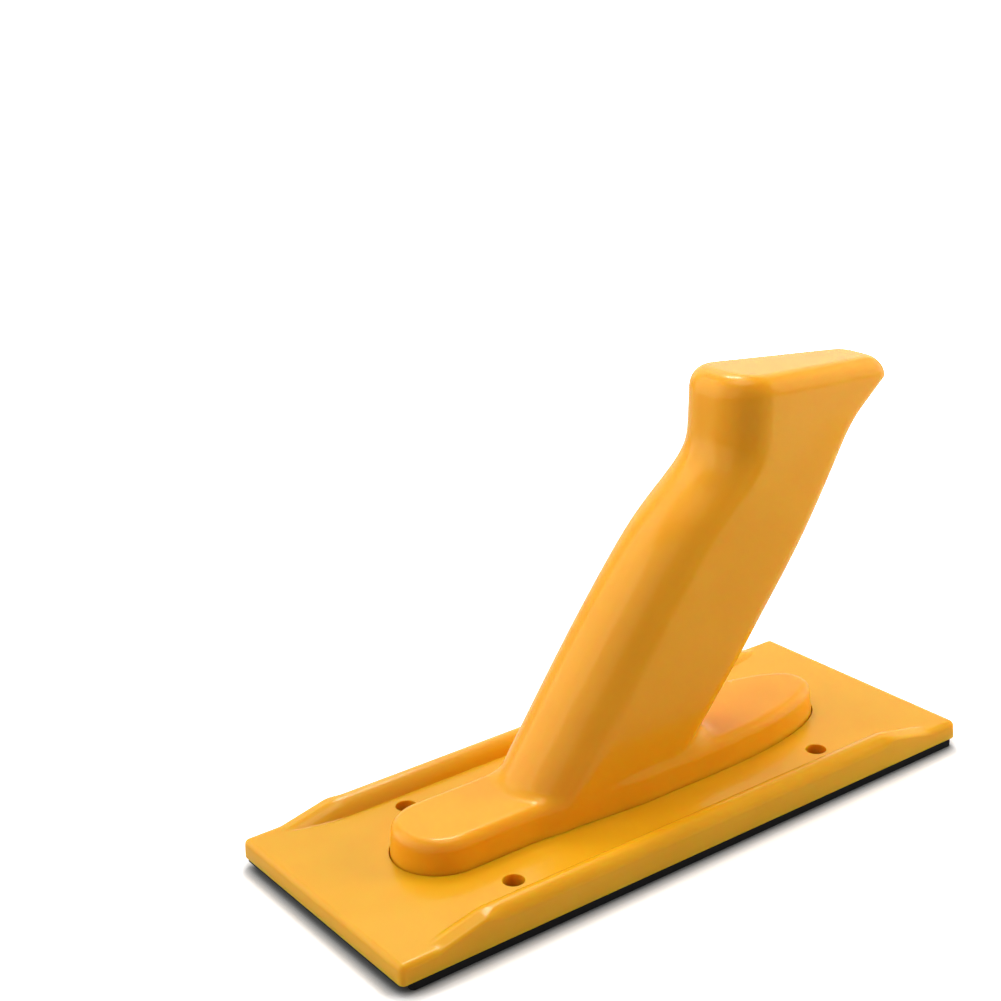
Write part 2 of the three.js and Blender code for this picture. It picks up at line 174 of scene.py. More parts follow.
def cut(obj, cutter, operation="DIFFERENCE"):
    """Joins, cuts or keeps what cutter covers, then throws the cutter away."""
    modifier = obj.modifiers.new("cut", "BOOLEAN")
    modifier.operation = operation
    modifier.solver = "EXACT"
    modifier.object = cutter
    bpy.context.view_layer.update()
    evaluated = obj.evaluated_get(bpy.context.evaluated_depsgraph_get())
    mesh = bpy.data.meshes.new_from_object(evaluated)
    obj.modifiers.clear()
    obj.data = mesh
    bpy.data.objects.remove(cutter)


def crisp(obj):
    """Keeps flat faces flat and edges over the sharp angle sharp."""
    obj.data.polygons.foreach_set("use_smooth", [True] * len(obj.data.polygons))
    obj.data.set_sharp_from_angle(angle=np.radians(SHARP_ANGLE))
    normals = obj.modifiers.new("normals", "WEIGHTED_NORMAL")
    normals.keep_sharp = True
    normals.weight = 80


def at_height(ring, z):
    """A flat ring lifted to a height."""
    return np.column_stack([ring, np.full(len(ring), float(z))])


def circle(radius, x, y):
    """Ring round a circle, anticlockwise."""
    angle = np.arange(CIRCLE_POINTS) * 2 * np.pi / CIRCLE_POINTS
    return np.column_stack([x + radius * np.cos(angle), y + radius * np.sin(angle)])


def rounded_rectangle(low, high, radius, inset=0.0, steps=8):
    """Ring round a rectangle from corner to corner, anticlockwise, moved inwards by inset."""
    low, high = np.array(low) + inset, np.array(high) - inset
    radius = max(radius - inset, 0.05)
    centres = [
        (high[0] - radius, high[1] - radius, 0),
        (low[0] + radius, high[1] - radius, 90),
        (low[0] + radius, low[1] + radius, 180),
        (high[0] - radius, low[1] + radius, 270),
    ]
    ring = []
    for x, y, start in centres:
        for angle in np.radians(start + np.linspace(0, 90, steps)):
            ring.append((x + radius * np.cos(angle), y + radius * np.sin(angle)))
    return np.array(ring)


# ---- the foot's outline ---------------------------------------------------------------------------


def smoothstep(value, start, end):
    """0 before the start, 1 past the end, and a smooth rise between them."""
    share = np.clip((value - start) / (end - start), 0, 1)
    return share * share * (3 - 2 * share)


def foot_half_width(x):
    """Half-width of the foot where it leaves the plate, at places along it."""
    nose = TONGUE_HALF_WIDTH**2 - (x - FOOT_TOE - TONGUE_HALF_WIDTH) ** 2
    widening = smoothstep(x, TONGUE_END, LOBE_START)
    spread = TONGUE_HALF_WIDTH + (LOBE_HALF_WIDTH - TONGUE_HALF_WIDTH) * widening
    reach = np.clip((x - LOBE_MIDDLE) / (FOOT_HEEL - LOBE_MIDDLE), 0, 1)
    lobe = (1 - reach**LOBE_FULLNESS) ** (1 / LOBE_FULLNESS)
    return np.where(x < FOOT_TOE + TONGUE_HALF_WIDTH, np.sqrt(np.maximum(nose, 0)), spread * lobe)


def foot_ring(count=FOOT_POINTS):
    """Ring round the foot's outline, crowded towards both ends."""
    angle = np.arange(count) * 2 * np.pi / count
    x = (FOOT_TOE + FOOT_HEEL) / 2 + (FOOT_HEEL - FOOT_TOE) / 2 * np.cos(angle)
    return np.column_stack([x, np.sign(np.sin(angle)) * foot_half_width(x)])


def grown(ring, distance):
    """A ring moved outwards by a distance along its own normals."""
    along = np.roll(ring, -1, 0) - np.roll(ring, 1, 0)
    outwards = np.column_stack([along[:, 1], -along[:, 0]])
    return ring + outwards / np.linalg.norm(outwards, axis=1)[:, None] * distance


class FlatDistance:
    """Signed distance to a closed outline in the plane, tabled on a fine grid."""

    STEP = 0.25

    def __init__(self, ring, margin):
        self.low = ring.min(0) - margin
        self.low[1] = 0.0
        high = ring.max(0) + margin
        xs = np.arange(self.low[0], high[0], self.STEP)
        ys = np.arange(0.0, high[1], self.STEP)
        start, end = ring, np.roll(ring, -1, 0)
        along = end - start
        length = (along**2).sum(1)
        self.table = np.empty((len(xs), len(ys)))
        for i, x in enumerate(xs):
            point = np.column_stack([np.full(len(ys), x), ys])[:, None, :]
            share = np.clip(((point - start) * along).sum(2) / length, 0, 1)[..., None]
            distance = np.linalg.norm(point - start - share * along, axis=2).min(1)
            inside = ys < foot_half_width(np.array(x)) if FOOT_TOE < x < FOOT_HEEL else ys < -1
            self.table[i] = np.where(inside, -distance, distance)

    def __call__(self, x, y):
        u = np.clip((x - self.low[0]) / self.STEP, 0, self.table.shape[0] - 1.001)
        v = np.clip(np.abs(y) / self.STEP, 0, self.table.shape[1] - 1.001)
        i, j = u.astype(int), v.astype(int)
        s, t = u - i, v - j
        near = self.table[i, j] * (1 - t) + self.table[i, j + 1] * t
        far = self.table[i + 1, j] * (1 - t) + self.table[i + 1, j + 1] * t
        return near * (1 - s) + far * s


# ---- the handle's skin ----------------------------------------------------------------------------


def natural_spline(knots, rows):
    """Natural cubic spline through rows of values, as a function of an array of places."""
    knots, rows = np.asarray(knots, float), np.asarray(rows, float)
    last, gap = len(knots) - 1, np.diff(knots)
    matrix, right = np.eye(last + 1), np.zeros_like(rows)
    for i in range(1, last):
        matrix[i, i - 1 : i + 2] = gap[i - 1], 2 * (gap[i - 1] + gap[i]), gap[i]
        right[i] = 6 * ((rows[i + 1] - rows[i]) / gap[i] - (rows[i] - rows[i - 1]) / gap[i - 1])
    bend = np.linalg.solve(matrix, right)

    def at(place):
        place = np.clip(place, knots[0], knots[-1])
        i = np.clip(np.searchsorted(knots, place) - 1, 0, last - 1)
        g = gap[i][:, None]
        a, b = (knots[i + 1] - place)[:, None], (place - knots[i])[:, None]
        curve = (bend[i] * a**3 + bend[i + 1] * b**3) / (6 * g)
        return curve + (rows[i] / g - bend[i] * g / 6) * a + (rows[i + 1] / g - bend[i + 1] * g / 6) * b

    return at


grip_slice = natural_spline([row[0] for row in GRIP_SLICES], [row[1:] for row in GRIP_SLICES])
foot_distance = FlatDistance(foot_ring(FOOT_TABLE_POINTS), FOOT_TABLE_MARGIN)


def grip_outline(x, y, front, rear, side, nose, tail, taper):
    """Signed distance to a slice's outline, and the x part of its normal there."""
    y = np.abs(y)
    nose_x, nose_y = front + nose, side - nose
    tail_x, tail_y = rear - tail, side - taper - tail
    span_x, span_y = tail_x - nose_x, tail_y - nose_y
    span = np.hypot(span_x, span_y)
    lean = (nose - tail) / span
    rise = np.sqrt(1 - lean**2)
    normal_x = (span_x * lean - span_y * rise) / span
    normal_y = (span_y * lean + span_x * rise) / span
    touch_x, touch_y = nose_x + normal_x * nose, nose_y + normal_y * nose
    along = (x - touch_x) * normal_y - (y - touch_y) * normal_x
    flank = (x - touch_x) * normal_x + (y - touch_y) * normal_y

    def corner(dx, dy, radius, way):
        reach = np.maximum(np.hypot(dx, np.maximum(dy, 0)), 1e-9)
        return np.where(dy > 0, reach, way * dx) - radius, np.where(dy > 0, dx / reach, way)

    nose_distance, nose_turn = corner(x - nose_x, y - nose_y, nose, -1.0)
    tail_distance, tail_turn = corner(x - tail_x, y - tail_y, tail, 1.0)
    distance = np.where(along < 0, nose_distance, np.where(along > span * rise, tail_distance, flank))
    turn = np.where(along < 0, nose_turn, np.where(along > span * rise, tail_turn, normal_x))
    return distance, turn


def grip_distance(x, y, z):
    """Distance to the grip's walls, and how far their normal turns to the front (-1) or rear (1)."""
    height = z.copy()
    for _ in range(3):
        height = z + grip_slice(height)[:, 0] * x
    _, front, rear, side, nose, tail, taper = grip_slice(height).T
    distance, turn = grip_outline(x, y, front, rear, side, nose, tail, taper)
    step = grip_slice(height + 0.5) - grip_slice(height - 0.5)
    slope = np.where(turn < 0, step[:, 1], step[:, 2]) * np.abs(turn)
    return distance / np.sqrt(1 + slope**2), turn


def by_turn(turn, side, front, rear):
    """A radius that goes from side to front or rear as the wall's normal turns."""
    return side + (front - side) * np.maximum(-turn, 0) ** 2 + (rear - side) * np.maximum(turn, 0) ** 2


def rounded_both(a, b, radius):
    """Field of what both a and b hold, its edge rounded to the radius."""
    near_edge = np.hypot(np.maximum(radius + a, 0), np.maximum(radius + b, 0))
    return np.minimum(-radius, np.maximum(a, b)) + near_edge


def rounded_either(a, b, radius):
    """Field of what either holds, with a fillet of the radius between them."""
    near_corner = np.hypot(np.maximum(radius - a, 0), np.maximum(radius - b, 0))
    return np.maximum(radius, np.minimum(a, b)) - near_corner


def handle_field(points):
    """Negative inside the handle, positive outside, zero on its skin."""
    x, y, z = points.T
    wall = foot_distance(x, y) + np.maximum(z - PLATE_TOP, 0) * FOOT_DRAFT
    foot = rounded_both(wall, z - FOOT_TOP, FOOT_EDGE_ROUND)
    grip, turn = grip_distance(x, y, z)
    lid = (z + HEAD_TILT * x - HEAD_TOP) / np.hypot(1, HEAD_TILT)
    edge = by_turn(turn, HEAD_ROUND_SIDE, HEAD_ROUND_FRONT, HEAD_ROUND_REAR)
    grip = rounded_both(grip, lid, edge)
    fillet = by_turn(turn, FILLET_SIDE, FILLET_FRONT, FILLET_REAR)
    whole = rounded_either(foot, grip, fillet)
    return np.maximum(whole, POCKET_FLOOR - z)


def field_values(field, points, chunk=200_000):
    """The field at many points, a chunk at a time to spare memory."""
    return np.concatenate([field(points[i : i + chunk]) for i in range(0, len(points), chunk)])


def net_faces(inside, index):
    """Quads across every grid edge that the skin crosses, facing outwards."""
    quads = []
    for axis in range(3):
        a, b = (axis + 1) % 3, (axis + 2) % 3
        first = [slice(None)] * 3
        second = [slice(None)] * 3
        first[axis], second[axis] = slice(None, -1), slice(1, None)
        start, end = inside[tuple(first)], inside[tuple(second)]
        places = np.argwhere(start != end)
        keep = (places[:, a] > 0) & (places[:, b] > 0)
        places = places[keep]
        outwards = start[tuple(places.T)]
        step_a, step_b = np.eye(3, dtype=int)[a], np.eye(3, dtype=int)[b]
        ring = [places - step_a - step_b, places - step_b, places, places - step_a]
        quad = np.column_stack([index[tuple(corner.T)] for corner in ring])
        quad[~outwards] = quad[~outwards][:, ::-1]
        quads.append(quad)
    return np.concatenate(quads)


def skin(field, low, high, cell):
    """Quad mesh of the field's zero surface: one point in each cell that the surface crosses."""
    axes = [np.arange(a - 1.5 * cell, b + 2 * cell, cell) for a, b in zip(low, high)]
    middle = (axes[1][0] + axes[1][-1]) / 2
    axes[1] = axes[1] - middle + (low[1] + high[1]) / 2
    grid = np.stack(np.meshgrid(*axes, indexing="ij"), -1)
    values = field_values(field, grid.reshape(-1, 3)).reshape(grid.shape[:3])
    inside = values < 0
    cells = tuple(n - 1 for n in inside.shape)
    total, hits = np.zeros(cells + (3,)), np.zeros(cells)
    corners = [np.array(c) for c in np.ndindex(2, 2, 2)]
    for start in corners:
        for axis in range(3):
            if start[axis]:
                continue
            end = start + np.eye(3, dtype=int)[axis]
            window = [tuple(slice(c, c + n) for c, n in zip(corner, cells)) for corner in (start, end)]
            first, second = values[window[0]], values[window[1]]
            crossed = (first < 0) != (second < 0)
            share = np.where(crossed, first / np.where(crossed, first - second, 1), 0)
            total += crossed[..., None] * (start + share[..., None] * (end - start))
            hits += crossed
    used = hits > 0
    index = np.full(cells, -1)
    index[used] = np.arange(used.sum())
    origin = np.array([a[0] for a in axes])
    points = origin + cell * (np.argwhere(used) + total[used] / hits[used][:, None])
    return points, net_faces(inside, index)


def settle(points, faces, field, rounds=4):
    """Evens out the points along the surface and brings each back onto it."""
    edges = np.concatenate([faces[:, [i, (i + 1) % 4]] for i in range(4)])
    nearby = np.bincount(edges[:, 0], minlength=len(points)) + np.bincount(edges[:, 1], minlength=len(points))
    for _ in range(rounds):
        total = np.zeros_like(points)
        for axis in range(3):
            total[:, axis] += np.bincount(edges[:, 0], points[edges[:, 1], axis], len(points))
            total[:, axis] += np.bincount(edges[:, 1], points[edges[:, 0], axis], len(points))
        points = (points + total / nearby[:, None]) / 2
        for _ in range(2):
            value = field_values(field, points)
            slope = np.empty_like(points)
            for axis in range(3):
                nudge = np.eye(3)[axis] * SKIN_NUDGE
                slope[:, axis] = field_values(field, points + nudge) - field_values(field, points - nudge)
            slope /= 2 * SKIN_NUDGE
            points = points - slope * (value / np.maximum((slope**2).sum(1), 0.05))[:, None]
    return points


def make_handle():
    """Foot, grip and head as one smooth skin."""
    points, faces = skin(handle_field, handle_low, handle_high, SKIN_CELL)
    points = settle(points, faces, handle_field)
    return new_object("handle_shell", points, faces.tolist())


# ---- the base plate -------------------------------------------------------------------------------


def edge_drop(inset, radius):
    """How far a rounded edge lies below its face, at places inset from the side."""
    short = np.clip(radius - inset, 0, radius)
    return radius - np.sqrt(radius**2 - short**2)


def rail_profile(y):
    """Height of a rail above the plate at places across it."""
    t = np.linspace(0, 1, 40)
    shoulder_y, shoulder_z = RAIL_SHOULDER
    across = (1 - t) ** 2 * RAIL_FOOT_Y + 2 * t * (1 - t) * shoulder_y + t**2 * RAIL_CREST_Y
    up = RAIL_HEIGHT * (2 * t * (1 - t) * shoulder_z + t**2)
    crest = RAIL_HEIGHT - RAIL_CREST_FALL * np.maximum(np.abs(y) - RAIL_CREST_Y, 0)
    return np.minimum(np.interp(np.abs(y), across, up, left=-1.0), crest)


def rail_fall(x):
    """How far the rail has sunk at places along it."""
    beyond = np.abs(x) - RAIL_RAMP_START
    soft = np.where(
        np.abs(beyond) < RAIL_RAMP_BLEND,
        (beyond + RAIL_RAMP_BLEND) ** 2 / (4 * RAIL_RAMP_BLEND),
        np.maximum(beyond, 0),
    )
    return soft * RAIL_HEIGHT / (RAIL_RAMP_END - RAIL_RAMP_START)


def plate_top(x, y):
    """Height of the plate's upper face, rails and rounded edges included."""
    inset = np.minimum(HALF_LENGTH - np.abs(x), HALF_WIDTH - np.abs(y))
    flat = PLATE_TOP - edge_drop(inset, PLATE_EDGE)
    sharper = smoothstep(np.abs(x), RAIL_RAMP_START - 2 * RAIL_RAMP_BLEND, RAIL_RAMP_START + RAIL_RAMP_BLEND)
    edge = RAIL_EDGE + (RAMP_EDGE - RAIL_EDGE) * sharper
    rail = PLATE_TOP + rail_profile(y) - rail_fall(x) - edge_drop(HALF_WIDTH - np.abs(y), edge)
    return np.maximum(flat, rail)


def round_corners(x, y):
    """Bends the square corners of a grid of places into round ones."""
    a = (np.abs(x) - HALF_LENGTH + PLATE_CORNER) / PLATE_CORNER
    b = (np.abs(y) - HALF_WIDTH + PLATE_CORNER) / PLATE_CORNER
    both = (a > 0) & (b > 0)
    shrink = np.where(both, np.maximum(a, b) / np.maximum(np.hypot(a, b), 1e-9), 1)
    x = np.where(both, np.sign(x) * (HALF_LENGTH - PLATE_CORNER + a * shrink * PLATE_CORNER), x)
    y = np.where(both, np.sign(y) * (HALF_WIDTH - PLATE_CORNER + b * shrink * PLATE_CORNER), y)
    return x, y


def stations(half, spots, edge):
    """Places from -half to half: the given ones, and a crowd in the rounded edges."""
    rounding = half - edge * (1 - np.sin(np.linspace(0, np.pi / 2, 9)))
    positive = np.unique(np.round(np.concatenate([[0.0], spots, rounding]), 4))
    return np.concatenate([-positive[:0:-1], positive])


def lean_in(points):
    """Gives upright walls their draft."""
    lean = PLATE_DRAFT * (points[:, 2] - PLATE_BOTTOM)
    points[:, 0] *= 1 - lean / HALF_LENGTH
    points[:, 1] *= 1 - lean / HALF_WIDTH
    return points


def plate_blank():
    """The plate with its rails, before anything is cut out of it."""
    ramp = np.concatenate([
        RAIL_RAMP_START + np.linspace(-2 * RAIL_RAMP_BLEND, RAIL_RAMP_BLEND, 10),
        np.linspace(RAIL_RAMP_START + RAIL_RAMP_BLEND, RAIL_RAMP_END + 3, 18)[1:],
    ])
    xs = stations(HALF_LENGTH, np.concatenate([[30.0, 60.0], ramp, [96.0]]), PLATE_CORNER)
    slope = np.linspace(RAIL_FOOT_Y, RAIL_CREST_Y, 33)
    ys = stations(HALF_WIDTH, np.concatenate([[15.0, 28.0], slope]), RAIL_EDGE)
    x, y = np.meshgrid(xs, ys, indexing="ij")
    z = plate_top(x, y)
    x, y = round_corners(x, y)
    top = np.column_stack([x.ravel(), y.ravel(), z.ravel()])
    index = np.arange(len(top)).reshape(x.shape)
    corners = [index[:-1, :-1], index[1:, :-1], index[1:, 1:], index[:-1, 1:]]
    faces = np.stack(corners, -1).reshape(-1, 4).tolist()
    rim = np.concatenate([index[:, 0], index[-1, 1:], index[-2::-1, -1], index[0, -2:0:-1]])
    rings = [rim]
    points = [top]
    total = len(top)
    for height, inset in PLATE_LOWER_EDGE:
        ring = top[rim].copy()
        ring[:, 2] = PLATE_BOTTOM + height
        ring[:, 0] -= np.sign(ring[:, 0]) * inset * (np.abs(ring[:, 0]) > HALF_LENGTH - PLATE_CORNER)
        ring[:, 1] -= np.sign(ring[:, 1]) * inset * (np.abs(ring[:, 1]) > HALF_WIDTH - PLATE_CORNER)
        points.append(ring)
        rings.append(np.arange(total, total + len(rim)))
        total += len(rim)
    for upper, lower in zip(rings, rings[1:]):
        for i in range(len(rim)):
            j = (i + 1) % len(rim)
            faces.append([int(lower[i]), int(lower[j]), int(upper[j]), int(upper[i])])
    faces.append([int(i) for i in rings[-1][::-1]])
    return new_object("plate_shell", lean_in(np.concatenate(points)), faces)


def flared(name, ring_at, bottom, top):
    """A cutter with upright walls whose rim at the top is rounded outwards."""
    rings = [at_height(ring_at(0.0), bottom)]
    for angle in np.radians(np.linspace(0, 80, 6)):
        grow = RIM_ROUND * (1 - np.cos(angle))
        drop = RIM_ROUND * (1 - np.sin(angle))
        rings.append(at_height(ring_at(grow), top - drop))
    rings.append(at_height(ring_at(RIM_ROUND), top + 2.0))
    return lofted(name, rings)


def make_plate():
    """The plate with the pocket for the foot and the four through holes."""
    plate = plate_blank()
    outline = foot_ring()

    def pocket_ring(grow):
        return grown(outline, POCKET_GAP + grow)

    cut(plate, flared("pocket", pocket_ring, POCKET_FLOOR, PLATE_TOP))
    for x in (-HOLE_X, HOLE_X):
        for y in (-HOLE_Y, HOLE_Y):

            def hole_ring(grow):
                return circle(HOLE_RADIUS + grow, x, y)

            cut(plate, flared("hole", hole_ring, PLATE_BOTTOM - 2, PLATE_TOP))
    crisp(plate)
    return plate


# ---- sole and film --------------------------------------------------------------------------------


def make_sole():
    """The rubber sole, ribbed from end to end on its underside."""
    half = sole_high[1]
    bottom, top = sole_low[2], sole_high[2]
    profile = [(-half, top)]
    wall = SOLE_GROOVE_WIDTH / 2
    grooves = np.arange(SOLE_RIB_PITCH / 2, half - SOLE_GROOVE_WIDTH, SOLE_RIB_PITCH)
    for y in np.concatenate([-grooves[::-1], grooves]):
        profile += [
            (y - wall - SOLE_GROOVE_EDGE, bottom),
            (y - wall, bottom + SOLE_GROOVE_EDGE),
            (y - wall + SOLE_GROOVE_TAPER, bottom + SOLE_GROOVE_DEPTH),
            (y + wall - SOLE_GROOVE_TAPER, bottom + SOLE_GROOVE_DEPTH),
            (y + wall, bottom + SOLE_GROOVE_EDGE),
            (y + wall + SOLE_GROOVE_EDGE, bottom),
        ]
    profile.insert(1, (-half, bottom + SOLE_EDGE))
    profile.insert(2, (-half + SOLE_EDGE, bottom))
    profile += [(half - SOLE_EDGE, bottom), (half, bottom + SOLE_EDGE), (half, top)]
    profile = np.array(profile)
    ends = [np.column_stack([np.full(len(profile), x), profile]) for x in (sole_low[0], sole_high[0])]
    count = len(profile)
    faces = [list(range(count))[::-1], list(range(count, 2 * count))]
    for i in range(count):
        j = (i + 1) % count
        faces.append([i, j, count + j, count + i])
    sole = new_object("sole_ribs", np.concatenate(ends), faces)
    ring = rounded_rectangle(sole_low[:2], sole_high[:2], SOLE_CORNER)
    keep = lofted("sole_outline", [at_height(ring, bottom - 1), at_height(ring, top + 1)])
    cut(sole, keep, "INTERSECT")
    crisp(sole)
    return sole


def make_film():
    """The thin bonding layer, its edges just broken."""
    rings = []
    edge, bottom, top = FILM_EDGE, film_low[2], film_high[2]
    for inset, z in ((edge, bottom), (0.0, bottom + edge), (0.0, top - edge), (edge, top)):
        rings.append(at_height(rounded_rectangle(film_low[:2], film_high[:2], FILM_CORNER, inset), z))
    film = lofted("film_sheet", rings)
    crisp(film)
    return film


# ---- materials ------------------------------------------------------------------------------------


class Nodes:
    """Short names for building a material's node tree."""

    def __init__(self, name):
        self.material = bpy.data.materials.new(name)
        self.material.use_nodes = True
        self.tree = self.material.node_tree
        self.shader = self.tree.nodes["Principled BSDF"]
        self.place = self.add("ShaderNodeTexCoord").outputs["Object"]

    def add(self, kind, **values):
        node = self.tree.nodes.new(kind)
        for key, value in values.items():
            if key in node.inputs:
                node.inputs[key].default_value = value
            else:
                setattr(node, key, value)
        return node

    def link(self, output, node, socket):
        self.tree.links.new(output, node.inputs[socket])

    def noise(self, scale, detail=3.0, roughness=0.5):
        node = self.add("ShaderNodeTexNoise", Scale=scale, Detail=detail, Roughness=roughness)
        self.link(self.place, node, "Vector")
        return node.outputs["Fac"]

    def ramp(self, value, stops):
        node = self.add("ShaderNodeValToRGB")
        points = node.color_ramp.elements
        while len(points) < len(stops):
            points.new(0.5)
        for point, (place, colour) in zip(points, stops):
            point.position = place
            point.color = (*colour, 1)
        self.link(value, node, "Fac")
        return node.outputs["Color"]

    def span(self, value, low, high):
        node = self.add("ShaderNodeMapRange")
        node.inputs["To Min"].default_value = low
        node.inputs["To Max"].default_value = high
        self.link(value, node, "Value")
        return node.outputs["Result"]

    def product(self, first, second):
        node = self.add("ShaderNodeMath", operation="MULTIPLY")
        self.link(first, node, 0)
        self.link(second, node, 1)
        return node.outputs["Value"]

    def clear_from_below(self):
        """Lets the eye through the surface's back."""
        sided = self.add("ShaderNodeMixShader")
        self.link(self.add("ShaderNodeNewGeometry").outputs["Backfacing"], sided, 0)
        self.link(self.shader.outputs["BSDF"], sided, 1)
        self.link(self.add("ShaderNodeBsdfTransparent").outputs["BSDF"], sided, 2)
        self.link(sided.outputs["Shader"], self.tree.nodes["Material Output"], "Surface")

    def bump(self, height, distance, strength=1.0):
        node = self.add("ShaderNodeBump", Distance=distance, Strength=strength)
        self.link(height, node, "Height")
        self.link(node.outputs["Normal"], self.shader, "Normal")


def yellow_plastic(name, dark, light):
    """Moulded gloss plastic: faint mottling in the colour, slight unevenness in the gloss."""
    nodes = Nodes(name)
    nodes.link(nodes.ramp(nodes.noise(45, 2), [(0.35, dark), (0.65, light)]), nodes.shader, "Base Color")
    nodes.link(nodes.span(nodes.noise(60, 3), 0.20, 0.30), nodes.shader, "Roughness")
    nodes.bump(nodes.noise(220, 2), 0.00002, 0.3)
    nodes.shader.inputs["IOR"].default_value = 1.5
    nodes.shader.inputs["Specular IOR Level"].default_value = 0.25
    nodes.shader.inputs["Subsurface Weight"].default_value = 0.8
    nodes.shader.inputs["Subsurface Radius"].default_value = (1.0, 0.38, 0.08)
    nodes.shader.inputs["Subsurface Scale"].default_value = 0.004
    nodes.shader.inputs["Coat Weight"].default_value = 0.15
    nodes.shader.inputs["Coat Roughness"].default_value = 0.04
    return nodes.material


def black_rubber(name, tone, rough):
    """Near-black rubber with a fine grain."""
    nodes = Nodes(name)
    dark, light = [(tone * f, tone * f, tone * f * 1.05) for f in (0.7, 1.4)]
    nodes.link(nodes.ramp(nodes.noise(400, 4), [(0.3, dark), (0.7, light)]), nodes.shader, "Base Color")
    nodes.link(nodes.span(nodes.noise(900, 3), rough - 0.08, rough + 0.08), nodes.shader, "Roughness")
    nodes.bump(nodes.noise(2500, 3), 0.00005, 0.5)
    return nodes.material


def zinc_steel(name):
    """Bright zinc plating, a little uneven."""
    nodes = Nodes(name)
    tones = [(0.3, (0.55, 0.56, 0.58)), (0.7, (0.66, 0.67, 0.68))]
    nodes.link(nodes.ramp(nodes.noise(800, 4), tones), nodes.shader, "Base Color")
    nodes.link(nodes.span(nodes.noise(1500, 3), 0.25, 0.42), nodes.shader, "Roughness")
    nodes.shader.inputs["Metallic"].default_value = 1.0
    return nodes.material


# ---- studio ---------------------------------------------------------------------------------------

STUDIO_MIDDLE = np.array((0.0, 0.0, 0.05))
FLOOR_HALF_SIZE = 30.0
FLOOR_WHITE = 1.4  # the floor as the eye sees it
FLOOR_BOUNCE = 0.5  # share of that white in the light it gives back
FLOOR_PAINTED_SHADE = 0.25  # painted shade: the floor's white where it is hidden most
# how far the painted shade reaches out from the block, in metres
FLOOR_PAINTED_SHADE_REACH = 0.0065
FLOOR_OPENNESS = (0.35, 0.95)  # how open the floor is where it counts as most hidden, and as clear, for the painted shade
FLOOR_GLOW_START = 0.2
FLOOR_GLOW_END = 0.6

CAMERA_TURN = (-35.179, 19.898, -2.695)  # azimuth, elevation and roll, in degrees
CAMERA_TARGET = (0.122236, 0.224187, PLATE_BOTTOM * MM)
CAMERA_DISTANCE = 0.760597
CAMERA_LENS = 64.909


def floor_white():
    """White with painted shade that darkens it close to the block, and a glow far from it, so that the floor
    has no end.
    """
    nodes = Nodes("floor_white")
    seen = nodes.add("ShaderNodeLightPath").outputs["Is Camera Ray"]
    # Painted shade: occlusion darkens the floor's colour beside the block, for every ray.
    occlusion = nodes.add("ShaderNodeAmbientOcclusion", Distance=FLOOR_PAINTED_SHADE_REACH)
    white = nodes.span(occlusion.outputs["AO"], FLOOR_PAINTED_SHADE, FLOOR_WHITE)
    white.node.inputs["From Min"].default_value = FLOOR_OPENNESS[0]
    white.node.inputs["From Max"].default_value = FLOOR_OPENNESS[1]
    tone = nodes.product(white, nodes.span(seen, FLOOR_BOUNCE, 1.0))
    nodes.link(tone, nodes.shader, "Base Color")
    reach = nodes.add("ShaderNodeVectorMath", operation="LENGTH")
    nodes.link(nodes.place, reach, "Vector")
    far = nodes.span(reach.outputs["Value"], 0.0, 1.0)
    far.node.interpolation_type = "SMOOTHSTEP"
    far.node.inputs["From Min"].default_value = FLOOR_GLOW_START
    far.node.inputs["From Max"].default_value = FLOOR_GLOW_END
    nodes.link(nodes.product(far, seen), nodes.shader, "Emission Strength")
    nodes.shader.inputs["Emission Color"].default_value = (1, 1, 1, 1)
    nodes.shader.inputs["Roughness"].default_value = 1.0
    nodes.shader.inputs["Specular IOR Level"].default_value = 0.0
    nodes.clear_from_below()
    return nodes.material


def make_floor():
    """A wide white floor at the height of the sole's underside."""
    mesh = bpy.data.meshes.new("floor")
    size = FLOOR_HALF_SIZE
    corners = [(-size, -size, 0), (size, -size, 0), (size, size, 0), (-size, size, 0)]
    mesh.from_pydata(corners, [], [(0, 1, 2, 3)])
    mesh.materials.append(floor_white())
    floor = bpy.data.objects.new("floor", mesh)
    bpy.context.scene.collection.objects.link(floor)


def area_light(name, place, target, size, power, mirrored=True):
    """A square lamp that faces the target; gloss shows it only if it is mirrored."""
    data = bpy.data.lights.new(name, "AREA")
    data.shape = "SQUARE"
    data.size = size
    data.energy = power
    light = bpy.data.objects.new(name, data)
    bpy.context.scene.collection.objects.link(light)
    light.visible_glossy = mirrored
    light.location = place
    light.rotation_mode = "QUATERNION"
    light.rotation_quaternion = (Vector(target) - Vector(place)).to_track_quat("-Z", "Y")


def far_light(name, azimuth, elevation, size, power):
    """A wide soft lamp one metre from the object; azimuth 0 is at the heel, 90 at the far side."""
    turn, rise = np.radians((azimuth, elevation))
    way = np.array((np.cos(turn) * np.cos(rise), np.sin(turn) * np.cos(rise), np.sin(rise)))
    area_light(name, STUDIO_MIDDLE + way, STUDIO_MIDDLE, size, power)


def make_world(strength, mirrored):
    """An even white surround: pure white to the eye, fainter in gloss, dim as a light."""
    world = bpy.data.worlds.new("studio")
    bpy.context.scene.world = world
    world.use_nodes = True
    world.node_tree.nodes["Background"].inputs["Color"].default_value = (1, 1, 1, 1)
    tree = world.node_tree
    path = tree.nodes.new("ShaderNodeLightPath")
    glow = tree.nodes.new("ShaderNodeMapRange")
    glow.inputs["To Min"].default_value = strength
    glow.inputs["To Max"].default_value = mirrored
    tree.links.new(path.outputs["Is Glossy Ray"], glow.inputs["Value"])
    backdrop = tree.nodes.new("ShaderNodeMapRange")
    tree.links.new(path.outputs["Is Camera Ray"], backdrop.inputs["Value"])
    tree.links.new(glow.outputs["Result"], backdrop.inputs["To Min"])
    tree.links.new(backdrop.outputs["Result"], tree.nodes["Background"].inputs["Strength"])


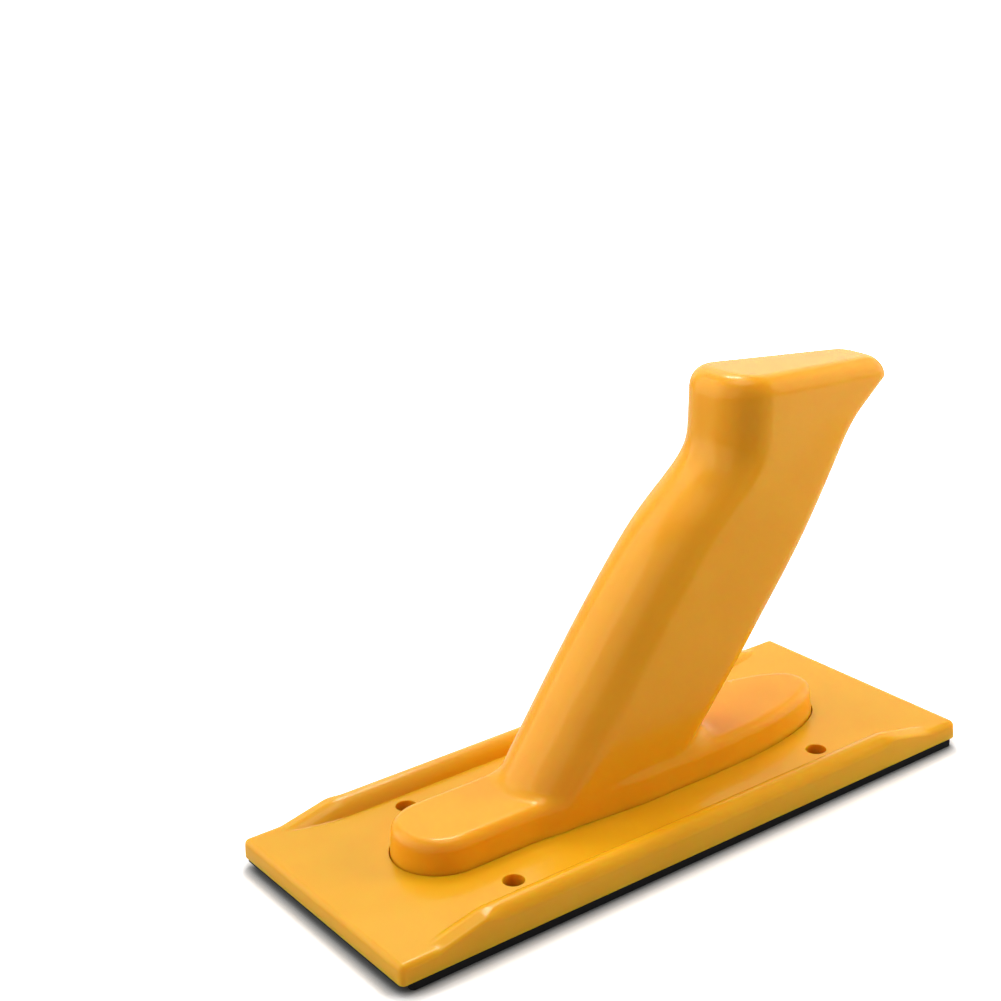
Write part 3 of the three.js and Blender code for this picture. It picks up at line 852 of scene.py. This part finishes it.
def make_camera():
    """Looks from the toe's near corner, slightly above, tipped by a small roll."""
    azimuth, elevation, roll = np.radians(CAMERA_TURN)
    back = np.array((
        np.sin(azimuth) * np.cos(elevation),
        -np.cos(azimuth) * np.cos(elevation),
        np.sin(elevation),
    ))
    right = np.cross((0, 0, 1), back)
    right /= np.linalg.norm(right)
    up = np.cross(back, right)
    right, up = right * np.cos(roll) + up * np.sin(roll), up * np.cos(roll) - right * np.sin(roll)
    data = bpy.data.cameras.new("camera")
    data.lens = CAMERA_LENS
    data.sensor_width = 36.0
    camera = bpy.data.objects.new("camera", data)
    bpy.context.scene.collection.objects.link(camera)
    turn = Matrix([[right[i], up[i], back[i]] for i in range(3)])
    stand = Vector(np.array(CAMERA_TARGET) + back * CAMERA_DISTANCE)
    camera.matrix_world = Matrix.Translation(stand) @ turn.to_4x4()
    bpy.context.scene.camera = camera


# ---- assembly -------------------------------------------------------------------------------------


def place(piece, node, slot, material):
    """Gives a piece its material, and puts it in the frame in place of a CAD node."""
    piece.data.materials.clear()
    piece.data.materials.append(material)
    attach(piece, "root")
    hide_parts(node)


make_camera()
make_floor()
make_world(strength=0.17, mirrored=0.6)
far_light("key", 57, 56, 0.25, 2.5)
far_light("back_high", 80, 60, 1.0, 1.8)
far_light("backdrop", 55, 17, 1.2, 2.2)
far_light("toe_back", 135, 24, 1.0, 5.0)
far_light("toe", 186, 30, 1.0, 2.5)
far_light("heel", -12, 12, 0.9, 2.4)
area_light("near_heel", (0.5, -0.32, 0.28), (0.15, 0.0, 0.04), 0.22, 1.8, mirrored=False)
area_light("overhead", (0.0, 0.0, 0.55), (0.0, 0.0, 0.0), 0.3, 0.7)
bpy.context.scene.view_settings.view_transform = "Standard"
bpy.context.scene.view_settings.gamma = 0.87

plate_yellow = yellow_plastic("plate_plastic", (0.81, 0.43, 0.012), (0.83, 0.45, 0.015))
handle_yellow = yellow_plastic("handle_plastic", (0.88, 0.425, 0.014), (0.90, 0.445, 0.017))
place(make_plate(), "base_plate", "plate_yellow", plate_yellow)
place(make_handle(), "handle", "handle_yellow", handle_yellow)
place(make_sole(), "rubber_sole", "rubber", black_rubber("sole_rubber", 0.006, 0.8))
place(make_film(), "adhesive_film", "film", black_rubber("film_black", 0.005, 0.6))
steel = zinc_steel("screw_zinc")
for node_name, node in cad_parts.items():
    if node_name.startswith("handle_screw"):
        node.data.materials.clear()
        node.data.materials.append(steel)

bpy.context.view_layer.update()
